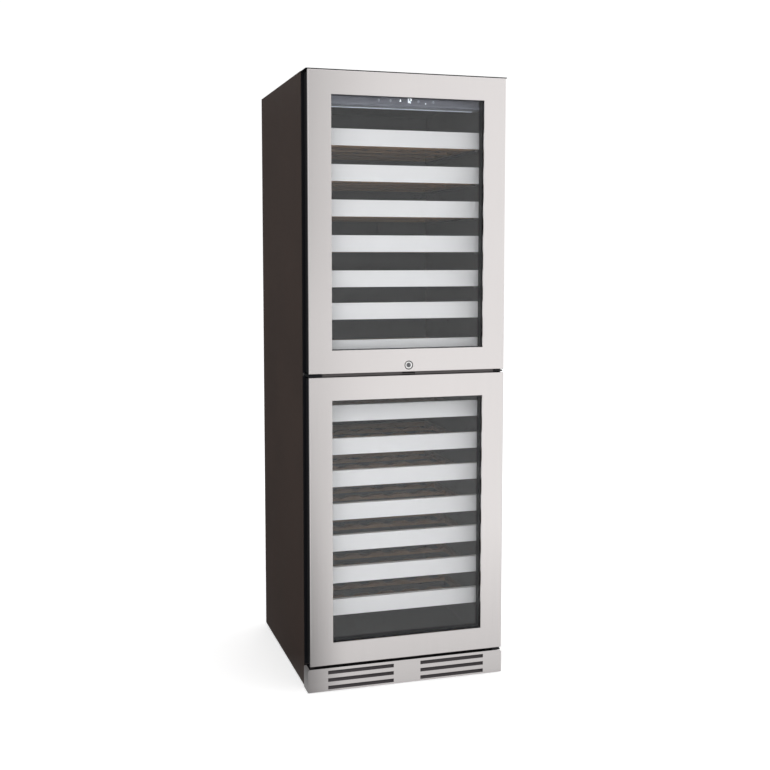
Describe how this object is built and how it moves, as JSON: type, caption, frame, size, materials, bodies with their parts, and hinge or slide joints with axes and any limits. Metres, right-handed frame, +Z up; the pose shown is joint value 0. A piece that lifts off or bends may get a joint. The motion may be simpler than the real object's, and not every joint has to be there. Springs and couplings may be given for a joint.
{
  "type": "wine cooler",
  "caption": "Tall wine cooler with stacked glass doors in steel frames, a dark cabinet and sliding wooden bottle racks with steel fronts.",
  "frame": {"origin": "middle of the footprint on the floor", "axes": "+Z up; the doors face -Y; +X is to the right seen from the front"},
  "size_m": [0.595, 0.67, 1.76],
  "materials": {
    "steel": "satin",
    "cabinet_paint": "satin",
    "black_plastic": "satin",
    "grey_trim": "satin",
    "liner_plastic": "matte",
    "glass": "gloss",
    "seal": "matte",
    "wood": "satin",
    "foam": "matte",
    "zinc": "satin",
    "panel": "gloss",
    "lock_metal": "polished",
    "machine_black": "satin"
  },
  "bodies": {
    "cabinet": {"outer_shell": "cabinet_paint", "back_panel": "zinc", "insulation": "foam", "front_frame": "grey_trim", "upper_liner": "liner_plastic", "lower_liner": "liner_plastic", "upper_duct_cover": "liner_plastic", "lower_duct_cover": "liner_plastic", "base_pan": "zinc", "kick_plate": "steel", "control_panel": "panel", "machine_cover": "machine_black", "compressor": "machine_black", "top_hinge": "machine_black", "middle_hinge": "machine_black", "bottom_hinge": "machine_black", "gap_block": "black_plastic"},
    "upper_door": {"upper_door_steel": "steel", "upper_door_frame": "black_plastic", "upper_door_glass": "glass", "upper_door_gasket": "seal", "lock_bezel": "lock_metal"},
    "lower_door": {"lower_door_steel": "steel", "lower_door_frame": "black_plastic", "lower_door_glass": "glass", "lower_door_gasket": "seal"},
    "lock": {"lock_cylinder": "lock_metal"},
    "fan": {"condenser_fan": "black_plastic"},
    "foot_front_left": {"foot_front_left": "black_plastic"},
    "foot_front_right": {"foot_front_right": "black_plastic"},
    "foot_rear_left": {"foot_rear_left": "black_plastic"},
    "foot_rear_right": {"foot_rear_right": "black_plastic"},
    "upper_shelf_1": {"upper_rack_1": "wood", "upper_shelf_front_1": "steel"},
    "upper_shelf_2": {"upper_rack_2": "wood", "upper_shelf_front_2": "steel"},
    "upper_shelf_3": {"upper_rack_3": "wood", "upper_shelf_front_3": "steel"},
    "upper_shelf_4": {"upper_rack_4": "wood", "upper_shelf_front_4": "steel"},
    "upper_shelf_5": {"upper_rack_5": "wood", "upper_shelf_front_5": "steel"},
    "upper_shelf_6": {"upper_rack_6": "wood", "upper_shelf_front_6": "steel"},
    "upper_shelf_7": {"upper_rack_7": "wood", "upper_shelf_front_7": "steel"},
    "lower_shelf_1": {"lower_rack_1": "wood", "lower_shelf_front_1": "steel"},
    "lower_shelf_2": {"lower_rack_2": "wood", "lower_shelf_front_2": "steel"},
    "lower_shelf_3": {"lower_rack_3": "wood", "lower_shelf_front_3": "steel"},
    "lower_shelf_4": {"lower_rack_4": "wood", "lower_shelf_front_4": "steel"},
    "lower_shelf_5": {"lower_rack_5": "wood", "lower_shelf_front_5": "steel"},
    "lower_shelf_6": {"lower_rack_6": "wood", "lower_shelf_front_6": "steel"},
    "lower_shelf_7": {"lower_rack_7": "wood", "lower_shelf_front_7": "steel"}
  },
  "joints": [
    {"name": "upper_door_hinge", "type": "hinge", "parent": "cabinet", "child": "upper_door", "pos_m": [0.28, -0.321, 1.338], "axis": [0, 0, 1], "range_deg": [0, 115]},
    {"name": "lower_door_hinge", "type": "hinge", "parent": "cabinet", "child": "lower_door", "pos_m": [0.28, -0.321, 0.495], "axis": [0, 0, 1], "range_deg": [0, 115]},
    {"name": "lock_turn", "type": "hinge", "parent": "upper_door", "child": "lock", "pos_m": [0, -0.321, 0.938], "axis": [0, 1, 0], "range_deg": [0, 90]},
    {"name": "fan_spin", "type": "hinge", "parent": "cabinet", "child": "fan", "pos_m": [0.12, 0.142, 0.086], "axis": [0, 1, 0], "continuous": true},
    {"name": "foot_front_left_turn", "type": "hinge", "parent": "cabinet", "child": "foot_front_left", "pos_m": [-0.255, -0.225, 0.02], "axis": [0, 0, 1], "continuous": true},
    {"name": "foot_front_right_turn", "type": "hinge", "parent": "cabinet", "child": "foot_front_right", "pos_m": [0.255, -0.225, 0.02], "axis": [0, 0, 1], "continuous": true},
    {"name": "foot_rear_left_turn", "type": "hinge", "parent": "cabinet", "child": "foot_rear_left", "pos_m": [-0.255, 0.275, 0.02], "axis": [0, 0, 1], "continuous": true},
    {"name": "foot_rear_right_turn", "type": "hinge", "parent": "cabinet", "child": "foot_rear_right", "pos_m": [0.255, 0.275, 0.02], "axis": [0, 0, 1], "continuous": true},
    {"name": "upper_shelf_1_slide", "type": "slide", "parent": "cabinet", "child": "upper_shelf_1", "axis": [0, -1, 0], "range_m": [0, 0.03]},
    {"name": "upper_shelf_2_slide", "type": "slide", "parent": "cabinet", "child": "upper_shelf_2", "axis": [0, -1, 0], "range_m": [0, 0.03]},
    {"name": "upper_shelf_3_slide", "type": "slide", "parent": "cabinet", "child": "upper_shelf_3", "axis": [0, -1, 0], "range_m": [0, 0.03]},
    {"name": "upper_shelf_4_slide", "type": "slide", "parent": "cabinet", "child": "upper_shelf_4", "axis": [0, -1, 0], "range_m": [0, 0.03]},
    {"name": "upper_shelf_5_slide", "type": "slide", "parent": "cabinet", "child": "upper_shelf_5", "axis": [0, -1, 0], "range_m": [0, 0.03]},
    {"name": "upper_shelf_6_slide", "type": "slide", "parent": "cabinet", "child": "upper_shelf_6", "axis": [0, -1, 0], "range_m": [0, 0.03]},
    {"name": "upper_shelf_7_slide", "type": "slide", "parent": "cabinet", "child": "upper_shelf_7", "axis": [0, -1, 0], "range_m": [0, 0.03]},
    {"name": "lower_shelf_1_slide", "type": "slide", "parent": "cabinet", "child": "lower_shelf_1", "axis": [0, -1, 0], "range_m": [0, 0.03]},
    {"name": "lower_shelf_2_slide", "type": "slide", "parent": "cabinet", "child": "lower_shelf_2", "axis": [0, -1, 0], "range_m": [0, 0.03]},
    {"name": "lower_shelf_3_slide", "type": "slide", "parent": "cabinet", "child": "lower_shelf_3", "axis": [0, -1, 0], "range_m": [0, 0.03]},
    {"name": "lower_shelf_4_slide", "type": "slide", "parent": "cabinet", "child": "lower_shelf_4", "axis": [0, -1, 0], "range_m": [0, 0.03]},
    {"name": "lower_shelf_5_slide", "type": "slide", "parent": "cabinet", "child": "lower_shelf_5", "axis": [0, -1, 0], "range_m": [0, 0.03]},
    {"name": "lower_shelf_6_slide", "type": "slide", "parent": "cabinet", "child": "lower_shelf_6", "axis": [0, -1, 0], "range_m": [0, 0.03]},
    {"name": "lower_shelf_7_slide", "type": "slide", "parent": "cabinet", "child": "lower_shelf_7", "axis": [0, -1, 0], "range_m": [0, 0.03]}
  ]
}
